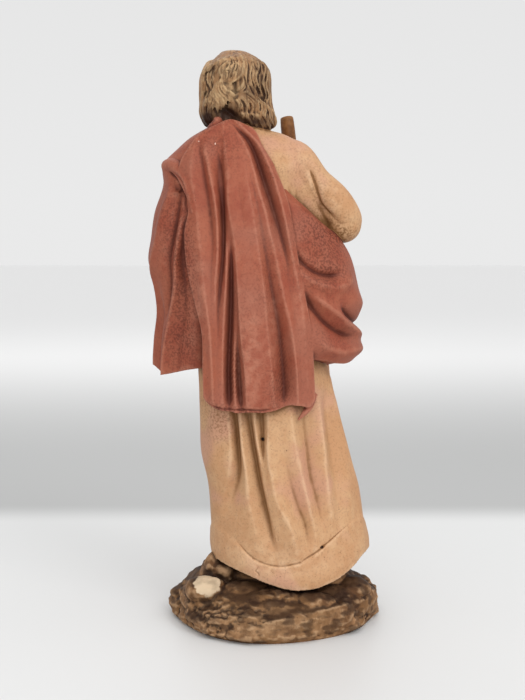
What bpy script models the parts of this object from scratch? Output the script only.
"""Nativity figurine of a bearded saint in robe and mantle, cast in one piece with its rocky mound.

The figure faces -Y, its spine is on the +Y side and its left hand is towards +X.
The carving is drawn at the size of a figure 250 mm tall: those lengths are shares of FIGURE_HEIGHT.
"""

import math

import bmesh
import bpy
import numpy as np

# Driving sizes, in metres
FIGURE_HEIGHT = 0.232  # from the ground under the feet to the top of the hair
MOUND_WIDTH = 0.093
MOUND_DEPTH = 0.092
MOUND_HEIGHT = 0.018  # at the feet
MOUND_RIM = 0.012  # where the rocky side turns over into the top
VOXEL = 0.0008  # fineness at which the forms are fused into one casting
TRIANGLES = 9400  # of the fused casting
BELOW = 0.002  # how far the mound runs on under the ground before it is cut flat

# The drawing's own scale
DRAWN_FIGURE = 232.0
DRAWN_GROUND = 18.0
MM = FIGURE_HEIGHT / DRAWN_FIGURE

MIDDLE_LIFT = 2.98  # the drawing is as a lens sees it, and is eased by this much at half height
TOP_NARROWING = 0.0235
DRAWN_TOP = 250.0

HEAD = (17.3, -4.5, 231.0)
HEAD_TURN = 14
HEAD_NOD = 8
FACE_AT = 166


HAIR = [
    (212, 16, -5, 12.4, 11),
    (216, 15.6, -5, 15.8, 13.6),
    (219, 16, -5, 16.5, 15),
    (222, 16.8, -5, 16.2, 16.1),
    (226, 17.2, -5, 15.3, 17.3),
    (232, 17.4, -5, 15, 18.3),
    (238, 17.2, -5, 14.8, 18.1),
    (242, 16.8, -5, 13.5, 16.8),
    (245.7, 16.8, -5, 10.7, 13.6),
    (248.4, 17.4, -5, 7.4, 9.6),
    (250, 18.2, -5, 4.2, 5.4),
    (250.5, 18.4, -5, 1.4, 1.6),
]
HAIR_CLEFTS = [
    ([(-10, 250), (-7, 246.5), (-4, 243)], 0.9, -1.6),
    ([(3, 240), (-5, 236.5), (-6, 233), (2, 230), (14, 227), (18, 224)], 0.9, -2.2),
    ([(10, 249), (16, 245), (22, 241), (14, 238)], 0.6, -1.0),
    ([(34, 243, 0.3), (40, 240), (50, 236), (54, 232, 0.3)], 1.0, -2.0),
    ([(4, 223), (10, 223.2), (17, 222.6)], 2.2, -4.0),
    ([(-16, 228), (-28, 228.6), (-42, 226.6), (-48, 223)], 0.6, -1.3),
    ([(60, 236, 0.2), (66, 232), (64, 226)], 0.8, -1.4),
]
LOCKS = [  # points (across, up) as seen from behind, half width, lift
    ([(15.7, 227.4), (12, 228.2), (8, 226.8), (5.4, 223)], 1.2, 0.4),
    ([(14.5, 226), (11.4, 226), (8.6, 224.2), (7.2, 220.6)], 1.2, 0.6),
    ([(13.8, 224.6), (11.8, 224), (10.4, 222), (10, 219.4)], 1.1, 0.5),
    ([(4, 228), (2.6, 225), (0.8, 221.5), (-0.4, 217.6)], 1.6, -0.6),
    ([(5, 222.6), (2.4, 219.6), (0.4, 216.4), (-1.4, 213.4)], 2.0, -1.5),
    ([(7.6, 220.6), (5, 218.4), (3.4, 216.2), (2.4, 214.2)], 1.8, -0.5),
    ([(28.6, 228.6), (25, 227.6), (21.4, 227.2), (17.6, 225.6)], 1.6, 0.2),
    ([(30.6, 226.6), (29, 224.6), (27, 222.8), (26, 220.4)], 1.5, 0.4),
    ([(27, 225.6), (25.4, 223.6), (23.6, 222.4), (22.8, 220.4)], 1.3, 0.2),
    ([(28, 241.6), (30.6, 240.4), (32.4, 238), (31, 235)], 1.6, -1.2),
    ([(23, 243.2), (26, 240), (27, 236.6), (30, 232.6)], 1.5, -0.3),
    ([(18, 240.6), (21.6, 237.4), (22.4, 234), (26, 230.6)], 1.5, -0.2),
]


def eased(rows, at):
    """Smooth values between rows of (key, value, value ...), read at the keys given."""
    table = np.array(rows, float)
    table = table[np.argsort(table[:, 0])]
    keys, values = table[:, 0], table[:, 1:]
    slopes = np.gradient(values, keys, axis=0)
    at = np.clip(np.asarray(at, float), keys[0], keys[-1])
    low = np.clip(np.searchsorted(keys, at) - 1, 0, len(keys) - 2)
    gap = keys[low + 1] - keys[low]
    t = ((at - keys[low]) / gap)[..., None]
    gap = gap[..., None]
    return (
        (2 * t**3 - 3 * t**2 + 1) * values[low]
        + (t**3 - 2 * t**2 + t) * gap * slopes[low]
        + (3 * t**2 - 2 * t**3) * values[low + 1]
        + (t**3 - t**2) * gap * slopes[low + 1]
    )


def bowed(points, steps):
    """Points along a smooth line through a few given ones."""
    points = np.array(points, float)
    return eased(np.column_stack([np.arange(len(points)), points]), np.linspace(0, len(points) - 1, steps))


print("head at", HEAD, "mm, mound", MOUND_WIDTH, "by", MOUND_DEPTH, "mm")


def stroke_distance(across, up, line, girth=1.0, turn=None):
    """Distance from each place to a line, and the line's share of depth there."""
    nearest = np.full(across.shape, 1e9)
    share = np.zeros_like(across)
    for a, b in zip(line[:-1], line[1:]):
        dx = across - a[0]
        if turn:
            dx = (dx + turn / 2) % turn - turn / 2
        dx = dx * girth
        dz = up - a[1]
        ex, ez = (b[0] - a[0]) * girth, b[1] - a[1]
        t = np.clip((dx * ex + dz * ez) / np.maximum(ex * ex + ez * ez, 1e-9), 0, 1)
        d = np.hypot(dx - t * ex, dz - t * ez)
        closer = d < nearest
        nearest = np.where(closer, d, nearest)
        share = np.where(closer, a[2] + t * (b[2] - a[2]), share)
    return nearest, share


CRISPNESS = 0.65  # 1 makes every crest a sharp edge, 0 a round one


def with_share(points):
    return [(*p, 1.0) if len(p) == 2 else p for p in points]


def carved(across, up, folds, girth=1.0, turn=None):
    """Height of the folds over a cloth, in mm. A fold is (points, half width, lift), a groove below zero."""
    total = np.zeros_like(across)
    for points, width, lift in folds:
        line = bowed(with_share(points), 6 * len(points))
        nearest, share = stroke_distance(across, up, line, girth, turn)
        power = 1.8 if lift > 0 else 1.2
        total += lift * share * np.exp(-((nearest / width) ** power))
    return total


def tracked(across, up, lines):
    """Relief between crests and valleys down a cloth, each a table of (up, across, relief), left first."""
    rows = [eased(line, up) for line in lines]
    total = np.zeros_like(across)
    for a, b in zip(rows[:-1], rows[1:]):
        t = (a[..., 0] - across) / np.maximum(a[..., 0] - b[..., 0], 0.05)
        t = np.clip(t, 0, 1)
        inside = (across <= a[..., 0]) & (across > b[..., 0])
        t = CRISPNESS * t + (1 - CRISPNESS) * t * t * (3 - 2 * t)
        total = np.where(inside, a[..., 1] + (b[..., 1] - a[..., 1]) * t, total)
    for end, beyond in ((rows[0], across - rows[0][..., 0]), (rows[-1], rows[-1][..., 0] - across)):
        total = np.where(beyond > 0, end[..., 1] * np.exp(-((beyond / 3) ** 2)), total)
    return total


def spot(x, z, at, size):
    return np.exp(-(((x - at[0]) / size[0]) ** 2) - ((z - at[1]) / size[1]) ** 2)


LATTICE = np.random.default_rng(11).random((24, 24, 24))


def rough(points, size, layers=3):
    """Layered value noise between about -1 and 1, over points in mm."""
    total = np.zeros(len(points))
    weight = 1.0
    for layer in range(layers):
        p = points / size + 5.3 * layer
        cell = np.floor(p).astype(int)
        t = p - cell
        t = t * t * (3 - 2 * t)
        value = np.zeros(len(points))
        for dx in (0, 1):
            for dy in (0, 1):
                for dz in (0, 1):
                    share = np.abs(1 - dx - t[:, 0]) * np.abs(1 - dy - t[:, 1]) * np.abs(1 - dz - t[:, 2])
                    at = (cell + [dx, dy, dz]) % 24
                    value += share * LATTICE[at[:, 0], at[:, 1], at[:, 2]]
        total += weight * (2 * value - 1)
        weight *= 0.5
        size = size * 0.5
    return total


def ellipse_at(stations, angle, height, relief=0.0, share=1.0):
    """Points round a body's own axis. The angle is in degrees from the spine towards the figure's left."""
    cx, cy, a, b = np.moveaxis(eased(stations, height), -1, 0)
    turn = np.radians(angle)
    sine, cosine = np.sin(turn), np.cos(turn)
    nx, ny = sine * b, cosine * a
    length = np.hypot(nx, ny)
    x = cx + a * share * sine + relief * nx / length
    y = cy + b * share * cosine + relief * ny / length
    return np.stack([x, y, np.broadcast_to(height, x.shape)], axis=-1)


def girth_at(stations, angle, height):
    """Millimetres round the body for each degree."""
    _, _, a, b = np.moveaxis(eased(stations, height), -1, 0)
    turn = np.radians(angle)
    return np.hypot(a * np.cos(turn), b * np.sin(turn)) * math.pi / 180


def ring_solid(rings):
    """A closed solid through rings of equal count, each end drawn to its own middle."""
    rings = np.array(rings)
    rows, count = rings.shape[:2]
    points = np.concatenate([rings.reshape(-1, 3), [rings[0].mean(axis=0), rings[-1].mean(axis=0)]])
    i, j = np.meshgrid(np.arange(rows - 1), np.arange(count), indexing="ij")
    k = (j + 1) % count
    faces = np.stack([i * count + j, i * count + k, (i + 1) * count + k, (i + 1) * count + j], axis=-1)
    faces = faces.reshape(-1, 4).tolist()
    last = (rows - 1) * count
    for j in range(count):
        k = (j + 1) % count
        faces.append([rows * count, k, j])
        faces.append([rows * count + 1, last + j, last + k])
    return points, faces


def sheet_solid(outer, inner):
    """A closed solid between two grids of points that match."""
    rows, columns = outer.shape[:2]
    points = np.concatenate([outer.reshape(-1, 3), inner.reshape(-1, 3)])
    back = rows * columns
    i, j = np.meshgrid(np.arange(rows - 1), np.arange(columns - 1), indexing="ij")
    start = (i * columns + j).ravel()
    quads = np.stack([start, start + 1, start + columns + 1, start + columns], axis=-1)
    faces = quads.tolist() + (back + quads[:, ::-1]).tolist()
    rim = list(range(columns)) + [r * columns + columns - 1 for r in range(1, rows)]
    rim += [(rows - 1) * columns + c for c in range(columns - 2, -1, -1)]
    rim += [r * columns for r in range(rows - 2, 0, -1)]
    for a, b in zip(rim, rim[1:] + rim[:1]):
        faces.append([b, a, back + a, back + b])
    return points, faces


def swept(path, radii, around=20, flat=1.0, steps=30):
    """A limb along a smooth path, round or flattened, with closed ends."""
    line = bowed(path, steps)
    sizes = bowed([(r,) for r in radii], steps)[:, 0]
    tangent = np.gradient(line, axis=0)
    tangent /= np.linalg.norm(tangent, axis=1)[:, None]
    side = np.cross(tangent[0], [0, 0, 1.0])
    if np.linalg.norm(side) < 0.2:
        side = np.cross(tangent[0], [0, 1.0, 0])
    turn = np.linspace(0, 2 * math.pi, around, endpoint=False)[:, None]
    rings = []
    for here, along, size in zip(line, tangent, sizes):
        side = side - along * np.dot(side, along)
        side /= np.linalg.norm(side)
        over = np.cross(along, side)
        rings.append(here + size * (np.cos(turn) * side + flat * np.sin(turn) * over))
    return ring_solid(rings)


def ball(middle, radii, crumble=0.0):
    """A rounded lump, with rock noise over it if asked."""
    tilt = np.linspace(0, math.pi, 34)[1:-1, None]
    turn = np.linspace(0, 2 * math.pi, 64, endpoint=False)[None, :]
    ways = np.broadcast_arrays(np.sin(tilt) * np.cos(turn), np.sin(tilt) * np.sin(turn), np.cos(tilt))
    unit = np.stack(ways, axis=-1)
    points = np.array(middle) + unit * radii
    if crumble:
        bump = rough(points.reshape(-1, 3), 7.0, 4).reshape(points.shape[:2])
        points = points + unit * (crumble * bump)[..., None]
    return ring_solid(points[:, ::-1])


def grid(columns, rows):
    return np.meshgrid(np.linspace(0, 1, columns), np.linspace(0, 1, rows))


ROBE = [  # height, middle across, middle deep, half width, half depth
    (22, -7, 0, 34.8, 30.5),
    (32, -6, 0, 34.8, 30),
    (41, -5, 0, 34.4, 29),
    (59, -3.2, 0, 33.4, 27.5),
    (72, 0, 0, 32.4, 26),
    (86, 2.4, 0, 30.6, 24.5),
    (101, 4.4, 0, 29.2, 23),
    (125, 7, 0, 27, 21),
    (150, 10, 0, 25, 18.5),
    (175, 13, 0, 25.5, 18),
    (190, 14, 0, 28, 18),
    (200, 14, 0, 28.5, 16.5),
    (206, 14.5, 0, 23.5, 13.5),
    (211, 15, 0, 16.5, 10.5),
    (216, 16, -1, 10.5, 8.5),
    (226, 17, -3, 8.5, 8),
]
ROBE_LINES = [  # crests and valleys down the back, each (up, across, relief)
    [(92, 31, 0.2), (60, 31, 0.2), (36, 30, 0)],
    [(92, 25, 1.0), (66, 25.6, 1.0), (36, 27, 0.4)],
    [(92, 19.6, 0.6), (70, 18.6, 0.8), (55, 21.6, 0.4), (36, 24, 0.2)],
    [(94, 17.9, -1.6), (87, 17.2, -2.6), (76, 16.4, -2.8), (66, 16.2, -2.4), (55, 18.8, -1.4),
     (45, 22.4, 0.1)],
    [(94, 15, 0.8), (87, 14.4, 1.3), (76, 13.2, 1.6), (66, 11.6, 1.6), (55, 10.6, 1.5), (45, 8.4, 1.0),
     (34, 7, 0.5)],
    [(94, 11.8, -1.8), (87, 10.9, -2.6), (76, 9.3, -3.2), (66, 7.7, -3.2), (55, 5, -2.6),
     (45, 2.4, -1.6), (34, 0.3, -0.2)],
    [(94, 9, 0.7), (87, 8.4, 1.0), (80, 7.6, 0.8), (72, 6.2, 0.2), (60, 3.9, 1.0), (45, 0.4, 1.0),
     (34, -2, 0.6)],
    [(94, 6.2, -1.4), (87, 5.6, -1.8), (78, 5.2, -1.2), (72, 4.8, 0), (60, 3.2, 1.4), (45, -1.4, 1.4),
     (34, -4, 0.8)],
    [(94, 3.4, 1.2), (87, 3, 1.7), (76, 3.2, 2.0), (66, 1.4, 2.4), (55, -1.4, 2.6), (45, -6.4, 2.4),
     (34, -8.8, 1.6)],
    [(94, -1, 1.0), (87, -1.6, 1.1), (76, -3.4, 0.8), (66, -5.8, -0.3), (55, -9, -0.8),
     (45, -12.8, -0.6), (34, -14, 0)],
    [(94, -6, 1.6), (87, -6.6, 1.7), (76, -8.6, 1.5), (66, -11, 1.1), (55, -13.6, 0.9), (40, -17, 0.5)],
    [(94, -12.4, -0.6), (87, -13, -1.0), (76, -14.6, -1.5), (66, -15.6, -1.5), (55, -18.3, -1.2),
     (44, -20.4, 0)],
    [(94, -18, 1.1), (87, -18.6, 1.3), (76, -20, 1.3), (66, -21, 1.1), (55, -22.6, 0.8),
     (40, -24, 0.4)],
    [(94, -22.4, -0.8), (76, -24.6, -1.0), (60, -26.4, -0.6), (40, -28, 0)],
    [(94, -26, 0.6), (60, -31, 0.6), (40, -33, 0.3)],
]
ROBE_FOLDS = [
    ([(-78, 104), (-74, 78), (-68, 40, 0.6)], 3.5, 1.2),
    ([(44, 96), (52, 70), (62, 40, 0.3)], 5.0, 0.8),
    ([(100, 100), (108, 70), (112, 34)], 3.2, -2.4),
    ([(120, 100), (126, 70), (130, 34)], 3.6, 2.2),
    ([(140, 104), (143, 70), (146, 34)], 2.6, -2.8),
    ([(158, 110), (160, 75), (162, 34)], 3.6, 2.6),
    ([(178, 112), (176, 75), (178, 36)], 2.6, -3.0),
    ([(196, 110), (194, 75), (196, 34)], 3.6, 2.6),
    ([(214, 108), (212, 75), (214, 34)], 2.6, -2.8),
    ([(232, 106), (232, 72), (234, 34)], 3.6, 2.0),
    ([(250, 104), (252, 70), (252, 34)], 2.6, -2.0),
    ([(-40, 196, 0), (-52, 184), (-62, 172)], 2.0, -1.4),
    ([(-25, 204, 0.2), (-32, 190), (-38, 178)], 4.0, 0.8),
    ([(-150, 206, 0.2), (-160, 190), (-172, 172)], 2.2, -1.5),
    ([(-165, 212, 0.2), (-172, 195), (-180, 175)], 2.2, 1.4),
    ([(172, 212, 0.2), (176, 195), (178, 175)], 2.0, -1.4),
    ([(-132, 200, 0.2), (-140, 185), (-150, 170)], 2.4, 1.2),
]
HEM = [
    (-180, 29),
    (-135, 28.5),
    (-105, 29.5),
    (-90, 30),
    (-60, 28.8),
    (-45, 25),
    (-30, 21.5),
    (-12, 18.8),
    (4, 19),
    (18, 21),
    (35, 24),
    (60, 26.5),
    (90, 27.5),
    (135, 28),
    (180, 29),
]
BAND = 11.5  # from the hem up to the step, where it isn't seen from behind
BAND_TOP = [  # across, height of the step along the back
    (-38, 46.5), (-34.7, 45.3), (-27.3, 42.2), (-25.2, 40.6), (-19.9, 35.8), (-14.6, 32), (-6.1, 29.4),
    (0.25, 28.9), (8.7, 31), (13.5, 34.6), (20, 39), (30, 44),
]


def robe_body(around, down):
    """The long robe from hem to neck, hollowed a little under the hem."""
    angle = np.linspace(-180, 180, around, endpoint=False)
    hem = eased(HEM, angle)[:, 0]
    rings = []
    for inset, lift in ((0.7, 5.0), (0.86, 3.5), (0.95, 1.0)):
        ring = ellipse_at(ROBE, angle, np.maximum(hem + lift, 22), 0.0, inset)
        ring[:, 2] = hem + lift
        rings.append(ring)
    for t in np.linspace(0, 1, down) ** 0.95:
        height = hem + t * (226 - hem)
        relief = carved(angle, height, ROBE_FOLDS, girth_at(ROBE, angle, height), 360)
        across = ellipse_at(ROBE, angle, np.maximum(height, 22))[:, 0]
        back = np.clip((np.cos(np.radians(angle)) - 0.05) / 0.3, 0, 1) * np.clip((103 - height) / 8, 0, 1)
        above = height - hem
        fuller = 1.25 + 0.55 * np.clip((4 - across) / 10, 0, 1)
        relief += back * fuller * tracked(across, height, ROBE_LINES) * np.clip((above - 6) / 14, 0.12, 1)
        relief += 0.5 * np.exp(-(((above - 4.5) / 4.5) ** 2))
        band_top = back * eased(BAND_TOP, across)[:, 0] + (1 - back) * (hem + BAND)
        relief += 0.85 / (1 + np.exp((height - band_top) / 0.3))
        ring = ellipse_at(ROBE, angle, np.maximum(height, 22), relief)
        ring[:, 2] = height
        rings.append(ring)
    return ring_solid(rings)


WRAP = [
    (108, 1, -2, 36, 26.5),
    (113, 1, -2, 37.6, 28.5),
    (119, 1, -2, 38.4, 29.5),
    (128, 1, -2, 38, 29),
    (139, 1, -2, 38.6, 28.5),
    (148, 1.5, -2, 37.8, 28),
    (157, 2, -2, 36, 27),
    (165, 3, -2, 33.6, 25.5),
    (175, 6, -1, 30, 23),
    (190, 10, 0, 27.2, 18.6),
    (200, 13, 0, 26, 16),
]
WRAP_FOLDS = [
    ([(-19, 158), (-28, 153), (-37, 150.6), (-48, 150), (-58, 152, 0)], 2.2, -3.6),
    ([(-20, 165, 0), (-34, 158), (-50, 157, 0)], 5.0, -1.8),
    ([(-18, 152, 0.5), (-30, 147.4), (-44, 145.4), (-60, 147), (-74, 150, 0)], 2.8, 1.8),
    ([(-48, 138, 0), (-59, 133.5), (-78, 129.4), (-100, 127), (-128, 131, 0)], 1.7, -3.4),
    ([(-62, 143, 0), (-76, 138.6), (-95, 137), (-125, 142), (-160, 147)], 4.2, 1.4),
    ([(-22, 139.8), (-29, 135), (-38, 130), (-48, 126.5), (-58, 124.4), (-74, 123, 0)], 2.4, -3.8),
    ([(-24, 143.6, 0), (-34, 138.4), (-46, 133.8), (-60, 128.8), (-80, 124.8), (-102, 122)], 2.1, 1.7),
    ([(-24, 126, 0.3), (-36, 119.8), (-52, 117.2), (-76, 117.6), (-102, 117), (-135, 124)], 3.2, 2.0),
    ([(-96, 148, 0), (-125, 140), (-155, 140), (-180, 148), (-210, 160)], 2.4, -2.8),
    ([(-104, 134, 0), (-135, 131), (-170, 136), (-208, 150)], 3.2, 2.2),
    ([(-110, 127, 0), (-142, 122), (-172, 127), (-208, 143)], 2.2, -2.8),
    ([(-116, 117, 0), (-146, 112), (-176, 117), (-210, 134)], 3.2, 2.2),
]
WRAP_TOP = [
    (-215, 166),
    (-180, 160),
    (-135, 157),
    (-110, 161),
    (-90, 163.6),
    (-73, 171.4),
    (-60, 176.4),
    (-47, 181.4),
    (-32, 188),
    (-20, 193),
    (20, 197),
]
WRAP_FOOT = [
    (-215, 132),
    (-180, 113),
    (-150, 107),
    (-120, 109),
    (-90, 112.5),
    (-60, 111.5),
    (-40, 113.5),
    (20, 116),
]
CAP = [
    (150, 11, 0, 27.5, 21),
    (175, 14, 0, 29, 21.5),
    (191, 17, 0, 31.8, 20.5),
    (198, 17, 0, 32.7, 18.5),
    (205.6, 17, 0, 25.8, 15.8),
    (211, 17, 0, 19.6, 13.6),
    (215.4, 17.4, 0, 11.6, 11),
    (218.4, 18.6, 0, 5.4, 6.4),
]
CAP_TOP = 218.4
CAP_FOLDS = [
    ([(100, 204, 0), (120, 186), (132, 168), (138, 150)], 3.0, 1.6),
    ([(80, 202, 0), (106, 180), (116, 165), (122, 150)], 2.0, -1.8),
    ([(128, 210, 0), (145, 190), (150, 170), (152, 150)], 2.0, -1.8),
    ([(64, 196, 0), (84, 190), (100, 184, 0)], 2.0, -1.2),
]


def cloth(stations, angle, height, folds, thickness=0.55, extra=0.0):
    """A layer of mantle over the grid of angles and heights."""
    relief = carved(angle, height, folds, girth_at(stations, angle, height), 360) + extra
    inner = ellipse_at(stations, angle, height, 0.0, thickness)
    return sheet_solid(ellipse_at(stations, angle, height, relief), inner)


def wrap(columns, rows):
    s, t = grid(columns, rows)
    angle = 20 - 235 * s
    top = eased(WRAP_TOP, angle)[..., 0]
    foot = eased(WRAP_FOOT, angle)[..., 0]
    front = 1 / (1 + np.exp((angle + 95) / 12))
    tuck = -(2.6 + 5 * front) * np.exp(-((t / (0.05 + 0.05 * front)) ** 2))
    tuck -= 1.6 * np.exp(-(((1 - t) / 0.035) ** 2))
    tuck -= 5.0 / (1 + np.exp(-(angle + 15) / 1.6))
    return cloth(WRAP, angle, top + (foot - top) * t, WRAP_FOLDS, 0.6, tuck)


def cap(columns, rows):
    s, t = grid(columns, rows)
    height = CAP_TOP + (150 - CAP_TOP) * t
    front = eased([(CAP_TOP, 178), (211, 172), (198, 160), (180, 150), (150, 142)], height)[..., 0]
    angle = -15 + (front + 15) * s
    return cloth(CAP, angle[:, ::-1], height, CAP_FOLDS, 0.5)


PANEL = [
    (90, 7, 0, 44, 29),
    (110, 7, 0, 44, 29),
    (130, 8, 0, 44, 28.5),
    (150, 10, 0, 43, 27),
    (170, 13, 0, 41, 24.5),
    (185, 16, 0, 40, 23),
    (200, 18, 0, 36, 20),
    (210, 18, 0, 29, 16.4),
    (218, 18, 0, 22, 12.6),
]
PANEL_SIDES = [  # height, left edge, right edge
    (90, 30.3, -17),
    (97, 30.3, -17),
    (110, 30.7, -16.5),
    (127, 31.2, -15.5),
    (140, 34.4, -13.2),
    (157, 38, -10),
    (170, 38.6, -8),
    (178, 37, -6.6),
    (186, 38, -4.4),
    (192, 40.6, -2),
    (198, 41, 0.5),
    (206, 37, 5.2),
    (213, 31, 8.6),
    (216, 27, 11.4),
    (219, 24, 15),
]
PANEL_LINES = [  # crests and valleys from the left edge to the right one, each (up, across, relief)
    [(216, 33, 0.4), (209, 35.6, 0.8), (198, 39.4, 0.8), (190, 38.4, 0.8), (178, 36, 1.2),
     (168, 36.6, 1.2), (157, 36.4, 1.2), (140, 33.2, 1.4), (120, 29.8, 1.4), (92, 28.8, 1.0)],
    [(216, 30.5, 0.8), (209, 33.8, 1.0), (198, 36, 1.6), (180, 33.8, 2.2), (162, 31.8, 2.8),
     (144, 29.8, 3.2), (127, 27.6, 3.2), (109, 26.6, 3.0), (92, 26, 2.4)],
    [(213, 29.6, 0.8), (207, 32, 0.0), (198, 30.8, -0.9), (180, 27.8, -0.9), (166, 26.4, -0.2),
     (150, 27, 0.8), (127, 25.8, 1.4), (92, 24.6, 1.4)],
    [(213, 27.5, 0.9), (207, 30, 1.1), (198, 28.6, 1.7), (180, 25.2, 1.9), (162, 24.2, 1.5),
     (144, 25.2, 1.0), (127, 24.9, 0.9), (92, 23.8, 1.0)],
    [(213, 24.6, 0.6), (204, 24.6, -0.6), (198, 23.4, -2.2), (184, 22.2, -3.0), (168, 21.6, -2.9),
     (156, 22.2, -2.2), (144, 23.3, -1.3), (133, 24.1, -0.2), (120, 23.8, 0.6), (92, 22.8, 0.6)],
    [(213, 23.4, 0.6), (198, 22.2, -0.8), (180, 21.2, -0.8), (170, 20.9, -0.8), (160, 20.5, 0.0),
     (150, 20.6, 0.7), (138, 21.2, 1.0), (121, 21.9, 0.8), (92, 21.9, 0.2)],
    [(213, 22.6, 0.7), (198, 21.4, 0.8), (180, 20.5, 0.8), (165, 18.7, 0.4), (159, 18.3, -1.4),
     (144, 18.4, -3.6), (133, 18.7, -4.2), (109, 19.6, -4.8), (92, 19.2, -4.8)],
    [(213, 22.3, 0.8), (198, 21, 1.1), (180, 20.2, 1.4), (165, 17.9, 1.7), (144, 17.0, -0.4),
     (127, 16.9, -0.9), (109, 17.2, -0.6), (92, 16.6, -0.4)],
    [(213, 22, 0.9), (198, 20.7, 1.3), (180, 20, 1.8), (165, 17.6, 1.9), (144, 16.2, 1.0),
     (127, 15.9, -0.8), (118, 15.5, -2.2), (109, 15.1, -3.4), (92, 13.9, -3.6)],
    [(216, 21.6, 0.6), (209, 21.8, 0.9), (198, 20.2, 1.6), (180, 19.6, 2.1), (165, 17.2, 2.3),
     (144, 15.7, 2.4), (127, 14.7, 2.6), (109, 12.6, 2.7), (92, 11.8, 2.7)],
    [(216, 20.4, 0.6), (209, 16.6, 0.9), (198, 13.3, 1.5), (180, 9.8, 2.0), (162, 7.1, 2.2),
     (144, 4.6, 2.4), (127, 3.1, 2.6), (109, 1.2, 2.7), (92, 0.1, 2.7)],
    [(216, 20, 0.5), (209, 15.6, 0.8), (198, 11.8, 1.2), (187, 9, 0.7), (180, 7.4, 0.4),
     (162, 4.4, -0.3), (144, 1.4, -1.5), (127, -1.5, -3.2), (109, -3.2, -4.0), (92, -4, -4.0)],
    [(216, 19.6, 0.5), (209, 14.2, 0.9), (198, 9.6, 1.4), (187, 6.8, 1.5), (180, 4.6, 1.5),
     (170, 2.4, 1.5), (162, 0.4, 1.6), (144, -3.2, 2.0), (127, -7, 2.2), (109, -9.2, 2.2),
     (92, -9.8, 1.9)],
    [(218, 19.2, 0.0), (214.6, 17.4, -1.2), (209, 12.1, -2.6), (204, 9.3, -3.0), (198, 7.2, -3.2),
     (189, 4.3, -3.2), (182, 2.0, -3.0), (174, -0.3, -2.5), (166, -2.5, -1.5), (158, -4.4, -0.3),
     (144, -6.4, 0.8), (127, -9, 1.2), (92, -11.2, 0.9)],
    [(218, 17, 1.2), (214, 13.6, 2.0), (209, 8.6, 2.5), (198, 2.8, 3.0), (180, -3, 3.0),
     (162, -6.7, 2.5), (144, -10.2, 2.1), (127, -12.6, 1.9), (109, -13.8, 1.8), (92, -14.3, 1.6)],
    [(218, 14.6, 0.2), (213, 10.6, 0.4), (206, 5.2, 0.7), (198, 0.2, 0.9), (188, -3.9, 0.9),
     (175, -7.3, 0.7), (157, -10.3, 0.7), (140, -13.5, 0.7), (127, -15.7, 0.7), (92, -17.2, 0.6)],
]
PANEL_FOLDS = [
    ([(-12, 150, 0), (-13.6, 130), (-14.4, 100, 0)], 0.7, -0.5),
    ([(9.6, 118, 0), (9, 104), (8.8, 95, 0)], 1.0, -0.4),
    ([(16.5, 196, 0), (14.4, 180), (12, 166, 0)], 1.4, -0.7),
    ([(34, 160, 0), (31, 142), (29.6, 120, 0)], 1.2, 0.5),
    ([(1.5, 180, 0), (-2.6, 163), (-5.6, 150, 0)], 0.8, 0.7),
]
PANEL_TOP = [(0, 213), (0.2, 216.4), (0.45, 217.8), (0.75, 217), (1, 214.4)]
PANEL_FOOT = [  # share across, height
    (0, 99),
    (0.02, 97.6),
    (0.12, 92.8),
    (0.25, 92.4),
    (0.37, 91.4),
    (0.42, 94.4),
    (0.64, 94.3),
    (0.69, 93.2),
    (0.76, 95.2),
    (0.88, 96.2),
    (0.95, 94.6),
    (1, 97.5),
]
SLEEVE_CLOTH = [
    (103, 36, -9, 16.8, 23),
    (107, 36, -9, 17, 24),
    (121, 36, -9, 16.4, 25),
    (134, 36, -9, 15.2, 26),
    (144, 36.6, -9, 16, 27),
    (156, 38, -8, 18.4, 26),
    (166, 38, -6, 17, 24),
    (177, 38, -4, 15.3, 21),
    (190, 36.5, -1, 12.6, 16),
    (198, 36, 0, 12.8, 13),
    (204, 35, 1, 8, 9),
]
SLEEVE_FOLDS = [
    ([(8, 175, 0.3), (10, 168), (16, 153), (24, 143), (36, 130), (44, 115), (47, 102)], 1.2, 2.4),
    ([(17, 188, 0.6), (16, 177), (25, 163), (30, 152), (42, 142), (54, 130, 0.2)], 2.0, -3.0),
    ([(4, 166, 0), (6, 150), (14, 132), (24, 118), (28, 100)], 4.4, -2.8),
    ([(38, 190, 0.4), (44, 172), (54, 156), (72, 142), (84, 104)], 2.6, 1.7),
    ([(62, 146, 0), (64, 128), (66, 104)], 2.0, -1.6),
    ([(100, 180, 0), (96, 150), (98, 128), (96, 100)], 2.6, -2.4),
    ([(120, 180, 0), (114, 150), (116, 126), (114, 100)], 3.0, 2.0),
    ([(140, 170, 0), (132, 140), (134, 120), (134, 100)], 2.4, -2.4),
    ([(160, 160, 0), (156, 130), (156, 100)], 3.0, 2.0),
    ([(190, 160, 0), (188, 130), (186, 100)], 2.4, -2.2),
    ([(29, 192), (29.5, 189), (28, 186, 0)], 1.4, -3.4),
]
SLEEVE_FOOT = [
    (-180, 111),
    (-90, 109),
    (0, 109.5),
    (30, 107.6),
    (60, 106),
    (80, 109),
    (130, 108),
    (180, 111),
]


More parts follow.
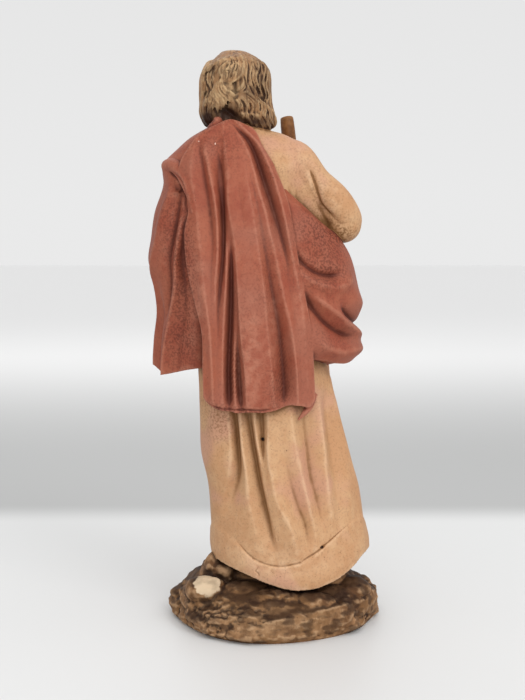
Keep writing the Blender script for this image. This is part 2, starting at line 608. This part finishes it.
def panel(columns, rows):
    s, t = grid(columns, rows)
    foot = eased(PANEL_FOOT, s)[..., 0]
    top = eased(PANEL_TOP, s)[..., 0]
    height = top + (foot - top) * t
    sides = eased(PANEL_SIDES, height)
    across = sides[..., 0] + (sides[..., 1] - sides[..., 0]) * s
    relief = carved(across, height, PANEL_FOLDS) + tracked(across, height, PANEL_LINES)
    rim = 0.62 * np.exp(-(((height - foot) / 2.4) ** 4))
    relief = relief * (1 - rim) + 1.9 * rim
    cx, cy, a, b = np.moveaxis(eased(PANEL, height), -1, 0)
    depth = cy + b * np.sqrt(np.clip(1 - ((across - cx) / a) ** 2, 0.05, 1)) + relief
    outer = np.stack([across, depth, height], axis=-1)
    inner = np.stack([across * 0.9 + 1, np.full_like(depth, 3.0), height], axis=-1)
    return sheet_solid(outer, inner)


def sleeve_cloth(around, down):
    """The mantle's end that hangs over the left arm."""
    angle = np.linspace(-180, 180, around, endpoint=False)
    foot = eased(SLEEVE_FOOT, angle)[:, 0]
    rings = []
    for t in np.linspace(0, 1, down):
        height = foot + (204 - foot) * t
        relief = carved(angle, height, SLEEVE_FOLDS, girth_at(SLEEVE_CLOTH, angle, height), 360)
        rings.append(ellipse_at(SLEEVE_CLOTH, angle, height, relief))
    return ring_solid(rings)


def mantle_trims():
    """The rolled lip on the left shoulder, and the turned tip at the panel's foot."""
    lip = [(40, -14, 196.5), (46, -5, 197.6), (46.8, 3, 198), (44, 9.6, 197.8)]
    lip += [(40.6, 14, 195), (38, 17.6, 190), (35.6, 20, 184), (34.6, 22, 177)]
    tip = [(-16.2, 21, 100), (-14, 24.6, 94.6), (-9.6, 26, 89.4)]
    return [swept(lip, [2.2, 2.8, 3.0, 3.0, 2.8, 2.4, 2.0, 0.9]), swept(tip, [2.2, 1.9, 0.5], 20, 0.6)]


STAFF = [(-28, -25, 12), (-17.8, -31.5, 112), (-12.2, -35.6, 165), (-6.6, -40, 218.4), (-6.5, -40, 220)]


def arms():
    upper = [(-5, 0.5, 201.4), (-9.8, 1, 199.6), (-17, 2, 190.6), (-25.6, 2, 182.6)]
    upper += [(-30.4, 0, 175), (-30.6, -4, 172)]
    fore = [(-30.4, 0, 172.2), (-30, -6, 172.2), (-27, -15, 174), (-17, -31, 181.5)]
    return [
        swept([(14, 0, 203.5), (2, 0, 203), (-6, 0.5, 201)], [11.5, 10.6, 9.4], 32),
        swept(upper, [9.2, 8.8, 8, 8, 8, 7.6], 32),
        swept([(-4, 0, 198), (-13, -1, 184), (-21, -5, 171)], [10.5, 10, 8.4], 32),
        swept(fore, [7.6, 8.6, 9.0, 8], 32),
        ball((-30.2, -0.5, 172.4), (8.2, 8.2, 8.2)),
        swept([(42, 0, 160), (42, -16, 155), (36, -30, 156), (27, -36, 159)], [10, 9.5, 8.5, 7.6], 32),
    ]


def staff_fold():
    """A fold of the robe that swells forward and carries the staff."""
    path = [(-15, -22, 124), (-18, -21.5, 104), (-21, -20.5, 76), (-24, -20, 40)]
    return swept(path, [7.5, 7.5, 5.5, 4], 24)


def hand(wrist, knuckles, tips, thumb, palm=(4.6, 2.6)):
    """A palm with four fingers that curl from the knuckles to the tips, and a thumb."""
    forms = [swept([wrist, np.mean(knuckles, axis=0)], [palm[0] * 0.8, palm[0]], 20, palm[1] / palm[0])]
    for k in range(4):
        share = (k + 0.5) / 4
        root, middle, end = [
            np.array(a) * (1 - share) + np.array(b) * share for a, b in (knuckles, tips[:2], tips[2:])
        ]
        forms.append(swept([root, middle, end], [1.6, 1.5, 1.15], 14))
    forms.append(swept(thumb, [2.0, 1.7, 1.2], 14))
    return forms


def right_hand():
    knuckles = ((-15, -35, 187.5), (-15.5, -34, 179.5))
    tips = ((-10.6, -41.6, 189), (-11.6, -41, 181), (-6, -39.6, 189.6), (-7, -38.8, 181.6))
    return hand((-17, -31, 182), knuckles, tips, [(-14, -32.5, 188), (-9.5, -32.4, 191), (-6, -34.4, 192.5)])


def left_hand():
    knuckles = ((19, -36, 163.5), (20, -37, 155.5))
    tips = ((14, -35.5, 164), (15, -36.5, 154.5), (8.5, -31.5, 163), (9.5, -32.5, 154))
    return hand((28, -35, 159), knuckles, tips, [(23, -36, 164), (19, -35, 168), (15.5, -32.5, 169.5)])


def staff():
    return swept(STAFF, [3.9, 3.7, 3.5, 3.3, 2.4], 24, 1.0, 60)


def placed_head(points):
    """Points of the head's own space, nodded, turned and set on the neck."""
    x, y, z = np.moveaxis(np.asarray(points, float), -1, 0)
    nod, turn = math.radians(HEAD_NOD), math.radians(HEAD_TURN)
    y, z = y * math.cos(nod) - z * math.sin(nod), y * math.sin(nod) + z * math.cos(nod)
    x, y = x * math.cos(turn) - y * math.sin(turn), x * math.sin(turn) + y * math.cos(turn)
    return np.stack([x + HEAD[0], y + HEAD[1], z + HEAD[2]], axis=-1)


def face(around):
    """Brow, eye sockets, nose, cheeks, lips and chin over an egg-shaped skull."""
    turn = np.linspace(0, 2 * math.pi, around, endpoint=False)
    rings = []
    for tilt in np.linspace(math.pi, 0, around // 2 + 1)[1:-1]:
        z = np.full(around, 17.0 * math.cos(tilt))
        x = 12.4 * math.sin(tilt) * np.cos(turn) * (1 - 0.26 * max(0, -math.cos(tilt)))
        y = -1 + 14.6 * math.sin(tilt) * np.sin(turn)
        side = np.abs(x)
        bump = 0.9 * spot(side, z, (4.2, 4.4), (3.6, 1.7)) - 2.3 * spot(side, z, (4.4, 0.9), (2.7, 1.9))
        bump += 1.5 * spot(side, z, (4.6, 0.5), (1.9, 1.15)) - 0.4 * spot(side, z, (4.6, -0.3), (2.1, 0.3))
        bump -= 0.3 * spot(side, z, (4.6, 2.1), (2.2, 0.35))
        bump += 0.9 * spot(side, z, (6.6, -4), (2.6, 2.4)) - 0.8 * spot(side, z, (4.6, -8), (2.0, 3.0))
        bridge = np.clip((4.5 - z) / 10.5, 0, 1)
        nose = (0.7 + 3.6 * bridge**1.3) * np.exp(-((x / (1.15 + 0.9 * bridge)) ** 2))
        bump += nose / (1 + np.exp(-(z + 6.0) / 0.32)) * (z < 5.5)
        bump += 0.9 * spot(side, z, (1.9, -5.2), (0.8, 0.9))
        bump += 0.9 * spot(x, z, (0, -8.9), (2.9, 0.8)) + 0.9 * spot(x, z, (0, -11), (2.4, 0.9))
        bump -= 0.8 * spot(x, z, (0, -9.9), (3.0, 0.4))
        bump += 1.2 * spot(x, z, (0, -14.5), (3.4, 1.8))
        y = y - bump * (np.sin(turn) < 0)
        rings.append(placed_head(np.stack([x, y, z], axis=-1)))
    return ring_solid(rings)


def strands(angle, height):
    """Waves of the hair: nearly straight on the right of the crown, in loose curls on the left."""
    left = 1 / (1 + np.exp(-(angle - 2) / 6))
    above = height - 226
    swing = left * (9 * np.sin(above / 3.4 + angle * 0.035) + 4 * np.sin(above / 1.9 + angle * 0.06))
    swing += (1 - left) * 2.5 * np.sin(above / 4.5 + angle * 0.09)
    course = angle + swing
    broad = 1 - np.abs(np.sin(np.radians(course * 180 / 15)))
    fine = np.abs(np.sin(np.radians(course * 180 / 5.2 + 40)))
    return -1.15 * broad**4 + 0.4 * fine - 0.2


def face_window(angle, height):
    """1 in the opening of the hair where the face looks out."""
    off = np.abs((angle - FACE_AT + 180) % 360 - 180)
    inside = 1 / (1 + np.exp((off - 52) / 3))
    return inside / (1 + np.exp((height - 241.5) / 0.7))


HAIR_FOOT = [
    (-180, 222),
    (-110, 218),
    (-60, 216),
    (0, 217),
    (60, 218),
    (110, 216),
    (150, 222),
    (180, 222),
]


def hair_cap(around, down):
    angle = np.linspace(-180, 180, around, endpoint=False)
    foot = eased(HAIR_FOOT, angle)[:, 0]
    rings = []
    for t in np.linspace(0, 1, down):
        height = foot + (HAIR[-1][0] - foot) * math.sin(t * math.pi / 2) ** 0.8
        window = face_window(angle, height)
        relief = strands(angle, height) * np.clip((250.2 - height) / 5, 0, 1)
        relief += carved(angle, height, HAIR_CLEFTS, girth_at(HAIR, angle, height), 360)
        rings.append(ellipse_at(HAIR, angle, height, relief * (1 - window), 1 - 0.3 * window))
    return ring_solid(rings)


def behind(x, z, lift):
    """A point on the hair as seen from behind."""
    cx, cy, a, b = eased(HAIR, z)
    return (x, cy + b * math.sqrt(max(0.04, 1 - ((x - cx) / a) ** 2)) + lift, z)


def locks():
    forms = []
    for points, width, lift in LOCKS:
        path = [behind(x, z, lift) for x, z in points]
        forms.append(swept(path, [width * 0.55, width, width, width * 0.45], 14, 0.75, 30))
    return forms


def beard():
    """Two layers of wavy locks from the jaw to a soft point, and a moustache."""
    forms = [ball(placed_head((0, -9.5, -14)), (7.6, 5.5, 9.5))]
    for layer, (reach, out, count) in enumerate(((-27, 1.2, 9), (-21, 2.6, 8))):
        for k in range(count):
            side = (k + 0.5) / count * 2 - 1
            turn = side * 1.35
            start = (9.6 * math.sin(turn), -1 - 13.0 * math.cos(turn) * 0.9, -11.5 + 6.5 * abs(side) ** 2)
            wave = 0.9 * math.sin(k * 2.1 + layer)
            middle = (8.6 * math.sin(turn) + wave, -4 - out - 9.5 * math.cos(turn), -17 + 2 * abs(side))
            end = (4.6 * side - wave, -8.5 - out - 2.5 * math.cos(turn), reach + 5.5 * abs(side))
            forms.append(swept([placed_head(p) for p in (start, middle, end)], [1.5, 2.1, 0.7], 12, 0.8))
    for side in (-1, 1):
        path = [(0.5 * side, -15.6, -7.4), (3.6 * side, -15.2, -8.6)]
        path += [(6.2 * side, -12.6, -12), (7 * side, -11.2, -15)]
        forms.append(swept([placed_head(p) for p in path], [1.1, 1.5, 1.4, 0.6], 12, 0.8))
    return forms


def foot(x, turn, ankle, lead):
    """One sandalled foot: instep, five toes, sole and strap. The great toe is on the side given by lead."""
    s, c = math.sin(math.radians(turn)), math.cos(math.radians(turn))

    def at(across, along, up):
        return (x + across * c + along * s, ankle - along * c + across * s, up)

    forms = [
        swept([at(0, -6, 23), at(0, 8, 23), at(0, 20, 20.4), at(0, 27, 19.2)], [6, 6, 5.6, 4.2], 24, 0.62),
        swept([at(0, -6, 16.8), at(0, 10, 16.6), at(0, 29, 16.2)], [6, 7, 5.6], 24, 0.34),
        swept([at(-6, 18, 18), at(-3, 18.5, 23.4), at(3, 18.5, 23.4), at(6, 18, 18)], [1.1] * 4, 12),
    ]
    for k in range(5):
        across = (2 - k) * 2.1 * lead
        size = 1.75 - 0.17 * k
        tip = at(across * 1.1, 30.6 - 0.28 * k**1.8, 18.6)
        forms.append(swept([at(across, 23, 20), tip], [size, size * 0.85], 14))
    return forms


LUMPS = [  # middle, radii, crumble
    ((-4, 1, 20), (27, 22, 7.5), 0.7),
    ((11, 21, 15.6), (11, 7, 4.6), 1.2),
    ((-22, 8, 17), (11, 12, 6), 0.9),
    ((24, 3, 19), (9, 13, 6), 0.9),
    ((24.5, 7, 22), (8, 9, 8.4), 1.4),
    ((31, 22, 15), (7, 6, 3.4), 0.8),
    ((-33, 14, 15), (8, 9, 4.4), 0.9),
    ((-16, 30, 13.6), (9, 6, 3.6), 0.9),
    ((-6, -34, 14), (10, 6, 4), 0.9),
]


def mound(around, rows):
    """The rocky ground: a rough oval with a broken edge and a gently raised middle. In real millimetres."""
    rim, top = MOUND_RIM * 1000, MOUND_HEIGHT * 1000
    turn = np.linspace(0, 2 * math.pi, around, endpoint=False)
    profile = [(0.9, -BELOW * 1000), (0.95, 0.0), (0.985, 1.6), (1.0, rim * 0.3)]
    profile += [(1.0, rim * 0.55), (0.985, rim * 0.8), (0.955, rim), (0.91, rim * 1.1)]
    profile = [tuple(row) for row in bowed(profile, 16)]
    for k in range(1, rows):
        share = 0.91 * (1 - k / rows)
        rise = min(1.0, (1 - share / 0.91) / 0.2) ** 0.8
        profile.append((share, rim * 1.1 + (top - rim * 1.1) * rise))
    share, level = np.array(profile).T
    x, y = np.sin(turn)[None], np.cos(turn)[None]
    lobes = 1 + 0.018 * np.sin(3 * turn + 1.0) + 0.012 * np.sin(5 * turn)
    px = x * MOUND_WIDTH * 500 * share[:, None] * lobes
    py = y * MOUND_DEPTH * 500 * share[:, None] * lobes
    pz = np.broadcast_to(level[:, None], px.shape)
    flat = np.stack([px, py, pz], axis=-1).reshape(-1, 3)
    broad = rough(flat, 15.0, 2).reshape(px.shape)
    lumpy = np.abs(rough(flat + 23, 8.0, 3).reshape(px.shape)) * 1.7 - 0.55
    cracks = (1 - np.abs(rough(flat * [1, 1, 1.6] + 40, 9.0, 3).reshape(px.shape))) ** 6
    crumbs = rough(flat + 71, 2.6, 2).reshape(px.shape)
    wall = np.clip(1.6 - level[:, None] / rim, 0.35, 1)
    relief = 1.6 * broad + 1.1 * lumpy * wall - 1.1 * cracks * wall + 0.5 * crumbs * wall
    push = relief * np.clip(share[:, None] * 1.05, 0, 1) * np.clip(level[:, None] / 2, 0, 1)
    rise = relief * np.clip((level[:, None] - rim * 0.6) / 4, 0, 1)
    rise += 1.3 * spot(px, py, (30, 8), (16, 22)) * (level[:, None] > rim)
    return ring_solid(np.stack([px + x * push, py + y * push, pz + rise], axis=-1))


def lumps():
    return [ball(middle, radii, crumble) for middle, radii, crumble in LUMPS]


def figure_forms():
    """Every body of the figure, in drawn millimetres."""
    neck = swept([(16, -1, 208), (16.5, -2, 222)], [8.2, 7.8], 24)
    collar = ball((24.4, 8.2, 216.6), (3.6, 3.2, 3.2))
    robe = [robe_body(180, 150), staff_fold(), *arms()]
    mantle = [wrap(170, 70), cap(90, 60), panel(150, 130), sleeve_cloth(130, 90)]
    mantle += [collar, *mantle_trims()]
    head = [face(120), neck, hair_cap(220, 110), *locks(), *beard()]
    ends = [*right_hand(), *left_hand(), *foot(-17, -12, -7.5, 1), *foot(9, 10, -9, -1), staff()]
    return robe + mantle + head + ends + lumps()


def to_size(points):
    """Drawn millimetres to metres, eased, with the ground kept at the mound's own height."""
    x, y, z = points.T
    true_x = 5 + (x - 5) * (1 - TOP_NARROWING * (z - DRAWN_TOP / 2) / (DRAWN_TOP / 2))
    true_z = z + MIDDLE_LIFT * np.sin(math.pi * z / DRAWN_TOP) - DRAWN_GROUND
    return np.stack([true_x * MM, y * MM, true_z * MM + MOUND_HEIGHT], axis=-1)


def joined(name, bodies):
    """One object from closed bodies that overlap."""
    points, faces, start = [], [], 0
    for body, body_faces in bodies:
        points.append(body)
        faces.extend([[start + i for i in face] for face in body_faces])
        start += len(body)
    mesh = bpy.data.meshes.new(name)
    mesh.from_pydata(np.concatenate(points).tolist(), [], faces)
    mesh.update()
    thing = bpy.data.objects.new(name, mesh)
    bpy.context.scene.collection.objects.link(thing)
    return thing


def applied(thing, kind, **settings):
    """One modifier, worked out and kept."""
    change = thing.modifiers.new(kind.lower(), kind)
    for key, value in settings.items():
        setattr(change, key, value)
    graph = bpy.context.evaluated_depsgraph_get()
    mesh = bpy.data.meshes.new_from_object(thing.evaluated_get(graph))
    thing.modifiers.clear()
    old = thing.data
    thing.data = mesh
    bpy.data.meshes.remove(old)
    return thing


def largest_shell(thing):
    """Keeps the one outer skin, without the hollows that the fusing leaves inside."""
    whole = bmesh.new()
    whole.from_mesh(thing.data)
    left, shells = set(whole.verts), []
    while left:
        front = [left.pop()]
        shell = list(front)
        while front:
            vert = front.pop()
            for edge in vert.link_edges:
                other = edge.other_vert(vert)
                if other in left:
                    left.discard(other)
                    front.append(other)
                    shell.append(other)
        shells.append(shell)
    shells.sort(key=len)
    bmesh.ops.delete(whole, geom=[v for shell in shells[:-1] for v in shell], context="VERTS")
    whole.to_mesh(thing.data)
    whole.free()


def flattened(thing):
    """Cuts the mound off flat at the ground, so that the casting stands on one true plane."""
    bpy.ops.mesh.primitive_cube_add(size=1, location=(0, 0, -0.05))
    cutter = bpy.context.object
    cutter.name = "ground_cutter"
    cutter.scale = (0.5, 0.5, 0.1)
    cutter.hide_render = True
    cutter.display_type = "WIRE"
    moved_to(cutter, "cutters")
    return applied(thing, "BOOLEAN", operation="DIFFERENCE", object=cutter, solver="EXACT")


def moved_to(thing, name):
    """Puts an object in the collection of that name, and in no other."""
    collection = bpy.data.collections.get(name) or bpy.data.collections.new(name)
    if name not in bpy.context.scene.collection.children:
        bpy.context.scene.collection.children.link(collection)
    for other in list(thing.users_collection):
        other.objects.unlink(thing)
    collection.objects.link(thing)


def resin():
    """Painted cast resin, in the colour of the mantle, which covers most of the figure."""
    paint = bpy.data.materials.new("painted_resin")
    paint.use_nodes = True
    shader = paint.node_tree.nodes["Principled BSDF"]
    shader.inputs["Base Color"].default_value = (0.36, 0.12, 0.07, 1)
    shader.inputs["Roughness"].default_value = 0.6
    shader.inputs["Metallic"].default_value = 0.0
    paint.diffuse_color = (0.36, 0.12, 0.07, 1)
    return paint


def main():
    for old in list(bpy.data.objects):
        bpy.data.objects.remove(old)
    forms = [(to_size(points), faces) for points, faces in figure_forms()]
    ground_points, ground_faces = mound(200, 26)
    casting = joined("joseph_figurine", forms + [(ground_points / 1000, ground_faces)])
    applied(casting, "REMESH", mode="VOXEL", voxel_size=VOXEL)
    largest_shell(casting)
    applied(casting, "DECIMATE", ratio=TRIANGLES / (2 * len(casting.data.polygons)))
    flattened(casting)
    casting.data.materials.clear()
    casting.data.materials.append(resin())
    casting.data.shade_smooth()
    casting.data.set_sharp_from_angle(angle=math.radians(40))
    moved_to(casting, "joseph_figurine")


if __name__ == "__main__":
    main()
